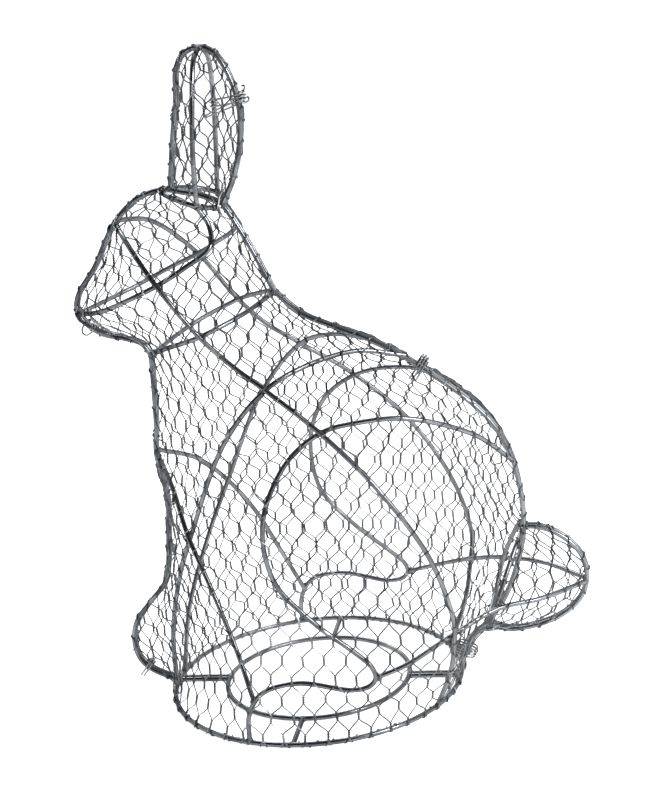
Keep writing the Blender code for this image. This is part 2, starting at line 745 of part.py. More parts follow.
def main():
    for old in list(bpy.data.objects):
        bpy.data.objects.remove(old)
    rod_finish = material("galvanised rod", ROD_COLOUR, 0.35)
    wire_finish = material("galvanised wire", WIRE_COLOUR, 0.4)
    centre = bpy.data.objects.new("ring_centre", None)
    bpy.context.collection.objects.link(centre)
    centre.location.x = -(NOSE_TIP[0] + TAIL_TIP[0]) / 2 * MM
    paths = rod_paths()
    ties = {name: tie_path(paths[rod], place) for name, (rod, place) in TIES.items()}
    nets = half_nets(paths, ties.values())
    for side, mirror in (("right", 1), ("left", -1)):
        flip = np.array((1, mirror, 1))
        for name, path in paths.items():
            mesh = bmesh.new()
            add_tube(mesh, path * flip, ROD_CORNER, ROD_SIDES)
            add_object(f"{name}_{side}", mesh, rod_finish, centre)
        for name, (corners, edges) in nets.items():
            mesh = bmesh.new()
            add_net(mesh, corners, edges)
            bmesh.ops.scale(mesh, vec=flip, verts=mesh.verts)
            add_object(f"{name}_{side}", mesh, wire_finish, centre)
    for name, path in ties.items():
        mesh = bmesh.new()
        add_tube(mesh, path, TIE_CORNER, TIE_SIDES)
        add_object(name, mesh, wire_finish, centre)


main()
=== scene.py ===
"""Looks of the rabbit topiary frame: round welded rods, twisted hexagonal netting and wire ties.

Laid out as a Blender add-on and run as a script. Rod routes are in millimetres from the
centre of the base rings, with the distance from the middle plane as their second number.
The finished pieces are in metres, nose to -X and the rabbit's left side to -Y.
"""
import math

import bmesh
import bpy
import numpy as np
from mathutils import Matrix, Vector
from mathutils.bvhtree import BVHTree
from mathutils.geometry import barycentric_transform, delaunay_2d_cdt
from mathutils.kdtree import KDTree


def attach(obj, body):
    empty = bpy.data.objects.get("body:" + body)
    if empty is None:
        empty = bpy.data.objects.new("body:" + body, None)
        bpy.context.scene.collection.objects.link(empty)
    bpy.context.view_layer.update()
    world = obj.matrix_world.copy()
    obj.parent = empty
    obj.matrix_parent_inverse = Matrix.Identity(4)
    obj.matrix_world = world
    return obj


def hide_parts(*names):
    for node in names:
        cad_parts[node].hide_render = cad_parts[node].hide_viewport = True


bl_info = {
    "name": "Rabbit Topiary Frame",
    "version": (1, 0, 0),
    "blender": (4, 5, 0),
    "location": "View3D > Sidebar > Topiary",
    "description": "Builds a wire topiary frame with welded rods, hexagonal netting and ties",
    "category": "Add Mesh",
}

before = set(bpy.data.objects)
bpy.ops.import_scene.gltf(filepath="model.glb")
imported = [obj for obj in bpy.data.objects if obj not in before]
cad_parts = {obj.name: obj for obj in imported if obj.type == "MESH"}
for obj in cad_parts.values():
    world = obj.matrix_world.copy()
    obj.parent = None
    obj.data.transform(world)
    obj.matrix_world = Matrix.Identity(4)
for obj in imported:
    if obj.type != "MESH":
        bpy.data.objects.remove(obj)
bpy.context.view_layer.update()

MM = 0.001

# Where the two profile rods of a pair lie, then the level and radii of the base rings, in
# millimetres, and where three rods land on the outer one, in degrees
PROFILE_Y = 1.91
RING_Z = 1.6
RING_RADIUS = 95.0
INNER_RING_RADIUS = 60.5
SIDE_ROD_LANDING = 28.5
SHOULDER_ROD_LANDING = 174.0
FOOT_LANDING = 107.0

# Landmarks in the middle plane, as (x, z)
THROAT = (-86, 227)
NAPE = (-2, 263)
NOSE_TIP = (-130.5, 262)
CROWN_FRONT = (-66, 331)
CROWN_REAR = (-29, 319)
EAR_TOP = (-32, 414.5)
TAIL_ROOT = (142, 103)
TAIL_TIP = (179.5, 68)
RUMP_LOW = (115, 38)
CENTRE_X = -(NOSE_TIP[0] + TAIL_TIP[0]) / 2

# Crossing welds: place, outer rod and inner rod
WELDS = {
    "cheek": ((-62.5, 50, 281), "side_rod", "cheek_rod"),
    "neck": ((-39, 51.5, 248.5), "side_rod", "neck_rod"),
    "shoulder": ((-2, 56.5, 215), "side_rod", "shoulder_rod"),
    "haunch": ((30.5, 65.5, 189.5), "side_rod", "haunch_rod"),
    "knee": ((-60.5, 52.5, 124), "foreleg_rod", "shoulder_rod"),
    "hip": ((99, 63.5, 56), "side_rod", "heel_rod"),
    "tail": ((125, 41, 65), "heel_rod", "tail_hoop"),
}


def on_ring(degrees):
    """Point on the outer base ring, counted from the tail round the side."""
    turn = math.radians(degrees)
    return RING_RADIUS * math.cos(turn), RING_RADIUS * math.sin(turn), RING_Z


def in_profile(place):
    """Point on a profile rod, from its (x, z)."""
    return place[0], PROFILE_Y, place[1]


# Rods in the profile's plane, as (x, z)
PROFILES = {
    "head_profile": [
        THROAT, (-91, 234.5), (-103, 239), (-115, 242), (-124, 248), (-129, 254.5), NOSE_TIP,
        (-127.5, 270), (-115, 286), (-105, 303), (-97, 314.5), (-83, 326), CROWN_FRONT,
        (-52.5, 328.5), (-41, 325.5), CROWN_REAR, (-21, 306), (-11, 285), NAPE,
    ],
    "front_profile": [
        (-RING_RADIUS, RING_Z), (-107, 6), (-116, 11.5), (-121.5, 19.5), (-123, 32),
        (-119.5, 44.5), (-108, 58.5), (-97, 71), (-92.5, 86), (-90, 105), (-87.5, 130),
        (-89.5, 150), (-91, 162), (-88.5, 182), THROAT,
    ],
    "back_profile": [
        NAPE, (14, 248), (32, 239), (60, 226.5), (86, 209), (113, 187), (129, 168), (138, 147),
        TAIL_ROOT, (137, 80), (128, 57), RUMP_LOW, (104, 27), (97.5, 13),
        (RING_RADIUS, RING_Z),
    ],
    "ear_profile": [
        (-60.5, 329.5), (-55.5, 358), (-50, 385), (-47.5, 403), (-42, 411.5), EAR_TOP,
        (-23, 410), (-15.5, 396), (-11.5, 376), (-14, 354), (-21, 333), CROWN_REAR,
    ],
    "tail_profile": [
        TAIL_ROOT, (152, 102), (166, 95), (176.5, 83), TAIL_TIP, (175, 54), (162, 42),
        (144, 35), (128, 33.5), RUMP_LOW,
    ],
}

# Rods round the sides, as (x, distance from the middle, z) or the name of a weld
SIDE_RODS = {
    "ear_hoop": [
        in_profile(CROWN_FRONT), (-60, 15, 329.5), (-48, 26, 326.5),
        (-37, 27, 322.5), (-31, 16, 320), in_profile(CROWN_REAR),
    ],
    "ear_rod": [
        in_profile(EAR_TOP), (-32, 19, 407), (-33.5, 27, 384),
        (-36, 30, 354), (-38, 27.5, 323),
    ],
    "cheek_rod": [
        (NOSE_TIP[0], PROFILE_Y, 256), (-101, 38, 265), (-80, 50, 273.5), "cheek",
        (-46, 43, 289), (-31, 35, 299), (-32, 27, 311), (-38, 27.5, 322.5),
    ],
    "neck_rod": [
        in_profile(THROAT), (-66, 32, 238), "neck", (-15, 30, 257),
        in_profile(NAPE),
    ],
    "side_rod": [
        (-98, PROFILE_Y, 314), (-84, 32, 307), "cheek", "neck", (-22, 53.5, 231), "shoulder",
        "haunch", (63, 74, 156), (90, 74, 112), (101, 72.5, 73), "hip", (94.5, 54, 28),
        on_ring(SIDE_ROD_LANDING),
    ],
    "shoulder_rod": [
        (76, PROFILE_Y, 218), (49, 16, 226), (20, 40, 224), "shoulder", (-30, 56.5, 184),
        "knee", (-75, 40, 88), (-89, 22, 44), on_ring(SHOULDER_ROD_LANDING),
    ],
    "haunch_rod": [
        (138, PROFILE_Y, 147), (116, 32, 175), (80, 55, 193), (52, 63, 194), "haunch",
        (9, 71, 173), (-6, 83, 141), (-3, 84, 104), (18, 84, 77), (42, 83.5, 56),
        (51, 84, 47), (53, 84.5, 40), (49, 85, 35), (38, 86, 33), (5, 88, 39),
        (-17, 90.5, 33.5), (-26, 91, 20), on_ring(FOOT_LANDING),
    ],
    "foreleg_rod": [
        (-90.5, PROFILE_Y, 163), (-74, 31, 147), "knee", (-47, 68, 95), (-34, 77, 61),
        (-23, 88, 28),
    ],
    "heel_rod": [
        (53, 84.5, 40), (72, 79, 46), "hip", "tail", (151, 30, 65.5),
        (TAIL_TIP[0], PROFILE_Y, 65),
    ],
    "tail_hoop": [
        in_profile(TAIL_ROOT), (137, 21, 96), "tail", (119, 31, 48),
        in_profile(RUMP_LOW),
    ],
}

# The rods that the first and the last end of each rod are welded to
HOSTS = {
    "front_spoke": ("inner_ring", "base_ring"),
    "rear_spoke": ("inner_ring", "base_ring"),
    "side_spoke": ("inner_ring", "base_ring"),
    "front_profile": ("base_ring", "head_profile"),
    "back_profile": ("head_profile", "base_ring"),
    "ear_profile": ("head_profile", "head_profile"),
    "tail_profile": ("back_profile", "back_profile"),
    "ear_hoop": ("head_profile", "head_profile"),
    "ear_rod": ("ear_profile", "ear_hoop"),
    "cheek_rod": ("head_profile", "ear_hoop"),
    "neck_rod": ("head_profile", "head_profile"),
    "side_rod": ("head_profile", "base_ring"),
    "shoulder_rod": ("back_profile", "base_ring"),
    "haunch_rod": ("back_profile", "base_ring"),
    "foreleg_rod": ("front_profile", "haunch_rod"),
    "heel_rod": ("haunch_rod", "tail_profile"),
    "tail_hoop": ("back_profile", "back_profile"),
}

RING_FRONT = (-RING_RADIUS, RING_Z)
RING_REAR = (RING_RADIUS, RING_Z)

# Each net: the rods round its edge with the (x, z) where each stretch begins and ends, its ribs,
# and how far apart the points of its surface lie
NETS = {
    "body_net": (
        [("front_profile", RING_FRONT, THROAT), ("head_profile", THROAT, CROWN_FRONT),
         ("ear_hoop", CROWN_FRONT, CROWN_REAR), ("head_profile", CROWN_REAR, NAPE),
         ("back_profile", NAPE, TAIL_ROOT), ("tail_hoop", TAIL_ROOT, RUMP_LOW),
         ("back_profile", RUMP_LOW, RING_REAR), ("base_ring", RING_REAR, RING_FRONT)],
        ["side_rod", "cheek_rod", "neck_rod", "shoulder_rod", "haunch_rod", "foreleg_rod",
         "heel_rod"],
        6.0,
    ),
    "ear_net": (
        [("ear_profile", CROWN_FRONT, CROWN_REAR), ("ear_hoop", CROWN_REAR, CROWN_FRONT)],
        ["ear_rod"],
        5.0,
    ),
    "tail_net": (
        [("tail_profile", TAIL_ROOT, RUMP_LOW), ("tail_hoop", RUMP_LOW, TAIL_ROOT)],
        ["heel_rod"],
        5.0,
    ),
}

# Ties: the profile rod and the (x, z) that each grips, its turns and how far it reaches across
TIES = {
    "ear_tie": ("ear_profile", (-11.5, 383), 3.0, 4.0),
    "back_tie": ("back_profile", (84, 209), 3.0, 8.8),
    "rump_tie": ("back_profile", (98.7, 18.8), 4.0, 7.5),
    "paw_tie": ("front_profile", (-116.3, 10.8), 2.0, 7.0),
    "chin_tie": ("head_profile", (-121.5, 247), 2.0, 2.6),
}

# Loose stretches of tie wire, as (x, y, z): from the ears' edge to the rod on their far side
# and back, a bent-back tail under it, two curled ends, and the loop that hangs at the chin
TIE_TAILS = {
    "ear_tie": [
        [(-9.6, 0.5, 386), (-11.5, 4.2, 384.6), (-17, 7.5, 383), (-25, 17.5, 381.8),
         (-32, 26.2, 380.6), (-35.2, 29.9, 380), (-36.3, 27.4, 379.4), (-34.4, 25.3, 378.8),
         (-31.9, 27, 378.2), (-32.8, 29.9, 377.6), (-35.6, 29.2, 377), (-35.4, 26, 376.6),
         (-29, 20.5, 377.2), (-20, 10.5, 378.6), (-13, 4.6, 380), (-9.4, 0.4, 381)],
        [(-9, -3.6, 380.2), (-11, 2.8, 379), (-14, 5.6, 378.2), (-24, 13.4, 375),
         (-36.6, 23.6, 371), (-39.2, 25.8, 370.2), (-39.4, 26.6, 371.2), (-36.5, 24.6, 372.6),
         (-24.5, 15, 377), (-14, 6, 380.4), (-9.8, 2.2, 381.8), (-8.6, -2.4, 382.4)],
        [(-11.5, 3.9, 385.6), (-8.9, 1.2, 386.4), (-7.2, 0.8, 388), (-7.6, 1.2, 389.6),
         (-9, 1.6, 389.4)],
        [(-10.5, -3.4, 380.4), (-7.6, -1.6, 379.6), (-5.4, -1.2, 380.4), (-4.9, -1, 382.2),
         (-6.2, -0.8, 382.8)],
    ],
    "chin_tie": [
        [(-122.4, 4.1, 249.6), (-124.6, 3.6, 251.4), (-127.4, 2.2, 249.4), (-129.6, 0.4, 246),
         (-129.2, -0.4, 243.2), (-127, -0.6, 242), (-124.4, -0.4, 243), (-122.2, 0.6, 245.2),
         (-120.4, 3, 247)],
    ],
}

SIDES = (("right", 1), ("left", -1))

# Corners round the section of each kind of wire
ROD_CORNERS, TIE_CORNERS, NET_CORNERS = 12, 8, 4

# Welds: crossing rods are pressed together to a share of their thickness, and a bead on a
# rod's end sits out along it by another. Beads differ a little in length, width and skin.
PRESSED = 0.97
WELD_ROUNDS = 4
BEAD_OUT = 0.45
BEAD_LONG, BEAD_WIDE, BEAD_LUMPS = (0.85, 1.1), (0.92, 1.08), 0.05
BEAD_SEED = 11

# Surface of a net, in millimetres: points along its rods lie EDGE_STEP apart, one nearer than
# ON_ROD is held by the rod, and a flat place farther than OFF_NET from the net is off it.
# Distances to rods are taken from points SAMPLE_STEP apart.
EDGE_STEP = 3.5
ON_ROD = 0.3
OFF_NET = 0.02
SAMPLE_STEP = 0.5

# Irregular twists: lean in radians, spread of their length, and how long a slant keeps straight,
# then the points along one turn of a twist and along a slant with both its ends
TWIST_LEAN, TWIST_SPREAD, SLANT_PULL = 0.06, 0.07, 0.32
TWIST_POINTS, SLANT_POINTS = 6, 5

# Net wires: steps are 1 to 4 mm. A longer one is a leap between folds of the net, a wire of
# fewer points is a stub, and an end farther from the edge rod isn't wound round it. Windings
# differ in turns and in pitch. An end within some rod radii of a hoop is only hooked over it.
LONGEST_STEP = 6.0
SHORTEST_RUN = 8
WRAP_REACH = 8.0
WRAP_SPREAD = 0.25
WRAP_PITCH = (2, 9)
COIL_POINTS, FEWEST_POINTS = 10, 6
HOOP_RADII = 4

# Ties: points a turn, how far the ends go on in radians, the gap to the rods, how squarely the
# wire goes round the pair, and how much the turns differ in height
TIE_POINTS = 24
TIE_END = 0.6
TIE_CLEAR = 0.25
TIE_SQUARE = 3
TIE_UNEVEN = 0.06

# Lights: the setting of the power, the size and the place. All of them aim at one spot.
LIGHTS = {
    "key light": ("key", 0.45, (1.25, -0.75, 0.95)),
    "rim light": ("rim", 0.8, (-0.5, 1.2, 1.4)),
}
LIGHT_AIM = (0, 0, 0.2)

# The room is dark one way, and fades to it between two cosines of the angle from there
DARK_WAY = (0.19, -0.93, 0.32)
DARK_FROM, DARK_FULL = -0.1, 0.5

# Camera: its place, and how far it is turned, tipped and rolled, in degrees
CAMERA_PLACE = (0.18215, -0.95354, 0.45956)
CAMERA_ANGLES = (10.73, 15.46, -5.69)
SENSOR_WIDTH = 36


def figure(name, description, default, low, high, **more):
    return bpy.props.FloatProperty(
        name=name, description=description, default=default, min=low, max=high, **more)


def metres(*facts, precision=4):
    return figure(*facts, unit="LENGTH", precision=precision)


def brightness(name, description, default):
    return bpy.props.FloatProperty(name=name, description=description, default=default, min=0.0)


def hex_colour(name, description, default):
    return bpy.props.StringProperty(name=name, description=description, default=default)


class RodSizes(bpy.types.PropertyGroup):
    """Sizes of the rods and their welds."""

    diameter: metres("Rod diameter", "Thickness of the bent rods", 0.0032, 0.001, 0.01)
    step: metres("Curve step", "Distance between the sections along a rod",
                 0.0018, 0.0005, 0.01)
    weld_width: metres("Weld width", "Width of a weld bead across the rod",
                       0.0037, 0.001, 0.01)
    weld_length: metres("Weld length", "Length of a weld bead", 0.0052, 0.001, 0.02)


class NetSizes(bpy.types.PropertyGroup):
    """Sizes of the hexagonal netting."""

    mesh_width: metres("Mesh width", "Distance between two twisted sides of a cell",
                       0.0133, 0.006, 0.06)
    row_share: figure("Row height", "Height of a row of cells as a share of the mesh width",
                      0.9, 0.5, 1.5)
    twist_share: figure("Twist length", "Length of a twisted side as a share of the mesh width",
                        0.44, 0.2, 0.8)
    wire: metres("Wire diameter", "Thickness of one wire of the netting",
                 0.0009, 0.0002, 0.002, precision=5)
    turns: bpy.props.IntProperty(
        name="Turns", description="Full turns of the two wires in a twisted side",
        default=2, min=1, max=4)
    slack: metres("Slack", "How far a twisted side may sit from its regular place",
                  0.0007, 0.0, 0.003)
    wrap: figure("Wrap", "Turns of a cut wire end round its edge rod", 0.6, 0.3, 4.0)
    hook: figure("Turns round a hoop", "How far a cut end is hooked over a hoop", 0.3, 0.2, 4.0)
    seed: bpy.props.IntProperty(
        name="Seed", description="Picks another set of irregularities", default=7)


class TieSizes(bpy.types.PropertyGroup):
    """Sizes of the wire ties."""

    wire: metres("Wire diameter", "Thickness of the tie wire", 0.0012, 0.0004, 0.003)
    pitch: metres("Coil pitch", "Distance between two turns of a tie", 0.0019, 0.001, 0.006)


class FinishColours(bpy.types.PropertyGroup):
    """Colours of the finishes, as sRGB hex values."""

    # Painted shade and painted light: the left half's zinc is darker, standing in for shade on the
    # near side, and the right half's is lighter, standing in for light on the far side
    left: hex_colour("Shaded left zinc", "Zinc coat of the left half's rods", "#74777A")
    left_dark: hex_colour("Left dark", "Weathered zinc of the shaded left half", "#4E5053")
    # Painted light: the rods' zinc turns to this lighter colour towards the tail
    painted_tail_light: hex_colour("Painted tail light", "Zinc painted lighter towards the tail", "#84878A")
    right: hex_colour("Lit right zinc", "Zinc coat of the right half's rods", "#8A8C8F")
    right_dark: hex_colour("Right dark", "Weathered zinc of the lit right half", "#626467")
    tie: hex_colour("Tie", "Bright soft wire of the ties", "#909294")
    netting: hex_colour("Netting", "Zinc coat of the netting wire", "#808386")
    netting_dark: hex_colour("Dark netting", "Dulled netting wire", "#505255")
    weld: hex_colour("Weld", "Burnt steel of the weld beads", "#3E3D3C")
    floor: hex_colour("Floor", "Paper under the frame", "#F4F4F4")


class StageSettings(bpy.types.PropertyGroup):
    """Camera and light."""

    lens: bpy.props.FloatProperty(
        name="Lens", description="Focal length of the camera in millimetres", default=72.0)
    floor: bpy.props.FloatProperty(
        name="Floor size", description="Half the width of the floor",
        default=300.0, unit="LENGTH")
    key: brightness("Key light", "Power of the soft light above the tail in watts", 26.0)
    rim: brightness("Rim light", "Power of the soft light above the far side in watts", 22.0)
    sky: brightness("Room", "Brightness of the white room around the frame", 1.0)
    dark_end: brightness("Dark end", "Brightness of the room's dark end", 0.04)


def unit(vector):
    vector = np.asarray(vector, float)
    length = np.linalg.norm(vector, axis=-1, keepdims=True)
    return vector / np.maximum(length, 1e-12)


def settings():
    """The scene, which holds the settings of every group."""
    return bpy.context.scene


# Routes of the rods

def spans(points, step):
    """Catmull-Rom spline through the points, as one run of points for each span."""
    points = np.array(points, float)
    padded = np.vstack([2 * points[0] - points[1], points, 2 * points[-1] - points[-2]])
    for before, start, end, after in zip(padded, padded[1:], padded[2:], padded[3:]):
        gaps = ((before, start), (start, end), (end, after))
        knots = np.cumsum([0] + [math.sqrt(max(np.linalg.norm(b - a), 1e-6)) for a, b in gaps])
        count = max(2, math.ceil(np.linalg.norm(end - start) / step))
        t = np.linspace(knots[1], knots[2], count + 1)[:, None]

        def mix(a, b, first, last):
            return ((last - t) * a + (t - first) * b) / (last - first)

        one = mix(before, start, knots[0], knots[1])
        two = mix(start, end, knots[1], knots[2])
        three = mix(end, after, knots[2], knots[3])
        left = mix(one, two, knots[0], knots[2])
        right = mix(two, three, knots[1], knots[3])
        yield mix(left, right, knots[1], knots[2])


def smooth_path(points, step):
    runs = list(spans(points, step))
    return np.vstack([run[:-1] for run in runs] + [runs[-1][-1:]])


def share_along(points, starts, along):
    """For each point, the share along each segment where it comes nearest."""
    share = ((points[:, None] - starts) * along).sum(-1) / np.maximum((along * along).sum(-1), 1e-9)
    return np.clip(share, 0, 1)


def to_path(points, path):
    """For each point, the nearest place on a path and the path's heading there."""
    points = np.atleast_2d(points)
    starts, along = path[:-1], path[1:] - path[:-1]
    nearest = starts + share_along(points, starts, along)[..., None] * along
    pick = np.linalg.norm(nearest - points[:, None], axis=-1).argmin(axis=1)
    rows = np.arange(len(points))
    return nearest[rows, pick], unit(along[pick])


def path_gap(path, other):
    """Least distance between two paths, with the place on each."""
    near, _ = to_path(path, other)
    gaps = np.linalg.norm(near - path, axis=1)
    spot = gaps.argmin()
    return gaps[spot], path[spot], near[spot]


def half_ring(radius, step):
    """Half a base ring, from the middle plane at the nose to the same at the tail."""
    turns = np.linspace(0, math.pi, math.ceil(math.pi * radius / step))
    return np.column_stack([
        -radius * np.cos(turns), radius * np.sin(turns), np.full(len(turns), RING_Z)])


def spoke(way, aside):
    """Straight bar from the inner ring to the outer one, along way and moved aside."""
    ends = [np.multiply(r, way) + aside for r in (INNER_RING_RADIUS, RING_RADIUS)]
    return np.array([(*end, RING_Z) for end in ends])


def weld_outward(name):
    """Direction square to both rods at a crossing weld, away from the middle plane."""
    chords = []
    for rod in WELDS[name][1:]:
        route = SIDE_RODS[rod]
        spot = route.index(name)
        ends = [WELDS[p][0] if isinstance(p, str) else p for p in (route[spot - 1], route[spot + 1])]
        chords.append(np.subtract(ends[1], ends[0]))
    outward = unit(np.cross(*chords))
    return outward if outward[1] > 0 else -outward


def side_paths(step, spacing):
    """Paths of the side rods, the two rods of every crossing weld touching."""
    outward = {name: weld_outward(name) for name in WELDS}
    lift = dict.fromkeys(WELDS, spacing / 2)

    def placed(point, rod):
        if not isinstance(point, str):
            return point
        place, outer, _ = WELDS[point]
        way = 1 if rod == outer else -1
        return np.array(place) + way * lift[point] * outward[point]

    for _ in range(WELD_ROUNDS):
        paths = {
            rod: smooth_path([placed(point, rod) for point in route], step)
            for rod, route in SIDE_RODS.items()
        }
        for name, (_, outer, inner) in WELDS.items():
            lift[name] += (spacing - path_gap(paths[outer], paths[inner])[0]) / 2
    return paths


def rod_paths():
    """Centre line of every rod of one half, in millimetres from the centre of the rings."""
    rods = settings().topiary_rods
    step, width = rods.step / MM, rods.diameter / MM
    paths = {
        "base_ring": half_ring(RING_RADIUS, step),
        "inner_ring": half_ring(INNER_RING_RADIUS, step),
        "front_spoke": spoke((-1, 0), (0, PROFILE_Y)),
        "rear_spoke": spoke((1, 0), (0, PROFILE_Y)),
        "side_spoke": spoke((0, 1), (0, 0)),
    }
    for rod, route in PROFILES.items():
        paths[rod] = smooth_path([(x, PROFILE_Y, z) for x, z in route], step)
    paths |= side_paths(step, width * PRESSED)
    return paths


# Meshes of wires

def lengths_along(path):
    """Length from a path's start to each of its points."""
    return np.concatenate([[0], np.cumsum(np.linalg.norm(np.diff(path, axis=0), axis=1))])


def carried(path):
    """Side direction of a section carried along a path without twist."""
    heads = unit(np.gradient(path, axis=0))
    lift = np.array((0.0, 0.0, 1.0) if abs(heads[0][2]) < 0.9 else (0.0, 1.0, 0.0))
    lifts = []
    for head in heads:
        lift = lift - (lift @ head) * head
        lift = lift / math.sqrt(lift @ lift)
        lifts.append(lift)
    return np.array(lifts)


def swept(path, lifts, radius, sides):
    """Points round a wire along a path, section by section."""
    heads = unit(np.gradient(path, axis=0))
    across = unit(np.cross(heads, lifts))
    lifts = np.cross(across, heads)
    turns = 2 * math.pi * np.arange(sides) / sides
    rings = (path[:, None]
             + radius * np.cos(turns)[None, :, None] * across[:, None]
             + radius * np.sin(turns)[None, :, None] * lifts[:, None])
    return rings.reshape(-1, 3)


def wire_mesh(name, runs, thickness, sides):
    """Mesh of round wires, each run being a path in millimetres with its side directions."""
    radius = thickness / MM / 2
    points, quads, places, caps = [], [], [], []
    base = 0
    around = np.arange(sides + 1) / sides * 2 * math.pi * radius * MM
    for path, lifts in runs:
        rings, along = swept(path, lifts, radius, sides), lengths_along(path)
        count = len(path)
        row = base + np.arange(count - 1)[:, None] * sides
        step = np.arange(sides)[None]
        after = (step + 1) % sides
        quads.append(np.stack([row + step, row + after, row + sides + after, row + sides + step],
                              axis=-1).reshape(-1, 4))
        near = np.broadcast_to(along[:-1, None] * MM, (count - 1, sides))
        far = np.broadcast_to(along[1:, None] * MM, (count - 1, sides))
        one = np.broadcast_to(around[None, :-1], near.shape)
        two = np.broadcast_to(around[None, 1:], near.shape)
        places.append(np.stack([near, one, near, two, far, two, far, one], axis=-1)
                      .reshape(-1, 4, 2))
        caps.append([base + s for s in range(sides)][::-1])
        caps.append([base + (count - 1) * sides + s for s in range(sides)])
        points.append(rings)
        base += len(rings)
    points = np.vstack(points)
    quads = np.vstack(quads)
    places = np.vstack(places).reshape(-1, 2)
    mesh = bpy.data.meshes.new(name)
    mesh.from_pydata((points * MM).tolist(), [], quads.tolist() + caps)
    layer = mesh.uv_layers.new(name="along")
    flat = np.zeros((len(mesh.loops), 2))
    flat[:len(places)] = places
    layer.data.foreach_set("uv", flat.ravel())
    mesh.shade_smooth()
    mesh.set_sharp_from_angle(angle=math.radians(60))
    return mesh


def add_piece(name, mesh, finish, replaced=()):
    """Scene piece from the mesh, riding on the frame and standing for the named nodes."""
    mesh.materials.append(finish)
    piece = bpy.data.objects.new(name, mesh)
    bpy.context.collection.objects.link(piece)
    mesh.transform(Matrix.Translation((CENTRE_X * MM, 0, 0)))
    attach(piece, "root")
    if replaced:
        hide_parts(*replaced)
    return piece


def mirrored(path, way):
    return path * np.array((1, way, 1))


# Surface that the netting lies on

def stretch(path, first, last):
    """The stretch of a path between the points nearest to two (x, z) places."""
    begin, end = (
        int(np.linalg.norm(path[:, [0, 2]] - place, axis=1).argmin()) for place in (first, last)
    )
    return path[begin:end + 1] if begin < end else path[end:begin + 1][::-1]


def inside(points, outline):
    """Whether each (x, z) point lies inside the closed outline."""
    x, z = points[:, 0, None], points[:, 1, None]
    x0, z0 = outline.T
    x1, z1 = np.roll(outline, -1, axis=0).T
    with np.errstate(divide="ignore", invalid="ignore"):
        hit = ((z0 > z) != (z1 > z)) & (x < (x1 - x0) * (z - z0) / (z1 - z0) + x0)
    return hit.sum(axis=1) % 2 == 1


def flat_gaps(points, starts, ends):
    """For each (x, z) point, the distance to each flat segment and the share along it."""
    along = ends - starts
    share = share_along(points, starts, along)
    nearest = starts + share[..., None] * along
    return np.linalg.norm(points[:, None] - nearest, axis=-1), share


def thinned(path, step):
    """Every few points of a path, with both its ends."""
    count = max(2, round(np.linalg.norm(np.diff(path, axis=0), axis=1).sum() / step))
    return path[np.unique(np.linspace(0, len(path) - 1, count).round().astype(int))]


def skin(edge, ribs, grid):
    """Surface stretched over a net's edge and ribs like a soap film: points and triangles."""
    flat = [0, 2]
    outline = edge[:, flat]
    starts = np.vstack([edge] + [rib[:-1] for rib in ribs])
    ends = np.vstack([np.roll(edge, -1, axis=0)] + [rib[1:] for rib in ribs])
    low, high = outline.min(axis=0), outline.max(axis=0)
    lines = [np.arange(low[i] + grid / 2, high[i], grid) for i in (0, 1)]
    points = np.array([(x, z) for x in lines[0] for z in lines[1]])
    points = points[inside(points, outline)]
    gaps, _ = flat_gaps(points, starts[:, flat], ends[:, flat])
    points = points[gaps.min(axis=1) > grid / 3]
    count = len(points)
    corners = np.vstack([points, starts[:, flat], ends[:, flat]])
    pairs = [(count + i, count + len(starts) + i) for i in range(len(starts))]
    found = delaunay_2d_cdt([Vector(p) for p in corners], pairs, [], 0, ON_ROD)
    flat_points, faces = np.array(found[0]), np.array(found[2])
    faces = faces[inside(flat_points[faces].mean(axis=1), outline)]
    used = np.unique(faces)
    faces = np.searchsorted(used, faces)
    flat_points = flat_points[used]
    gaps, share = flat_gaps(flat_points, starts[:, flat], ends[:, flat])
    heights = starts[:, 1] + share * (ends[:, 1] - starts[:, 1])
    on_rod = gaps < ON_ROD
    height = np.where(on_rod, heights, 0).max(axis=1)
    return film(flat_points, faces, height, on_rod.any(axis=1)), faces


def film(flat_points, faces, height, held):
    """The points with the free ones pulled to the mean height of their neighbours."""
    size = len(flat_points)
    pull = np.zeros((size, size))
    for a, b in ((0, 1), (1, 2), (2, 0)):
        i, j = faces[:, a], faces[:, b]
        weight = 1 / np.maximum(np.linalg.norm(flat_points[i] - flat_points[j], axis=1), 1)
        np.add.at(pull, (i, j), weight)
        np.add.at(pull, (j, i), weight)
    matrix = np.diag(pull.sum(axis=1)) - pull
    matrix[held] = np.eye(size)[held]
    height = np.linalg.solve(matrix, np.where(held, height, 0))
    return np.column_stack([flat_points[:, 0], height, flat_points[:, 1]])


def normals_of(points, faces):
    """Outward direction of the surface at each point."""
    crossed = np.cross(points[faces[:, 1]] - points[faces[:, 0]],
                       points[faces[:, 2]] - points[faces[:, 0]])
    crossed *= np.where(crossed[:, 1:2] < 0, -1, 1)
    normals = np.zeros_like(points)
    for corner in range(3):
        np.add.at(normals, faces[:, corner], crossed)
    return unit(normals)


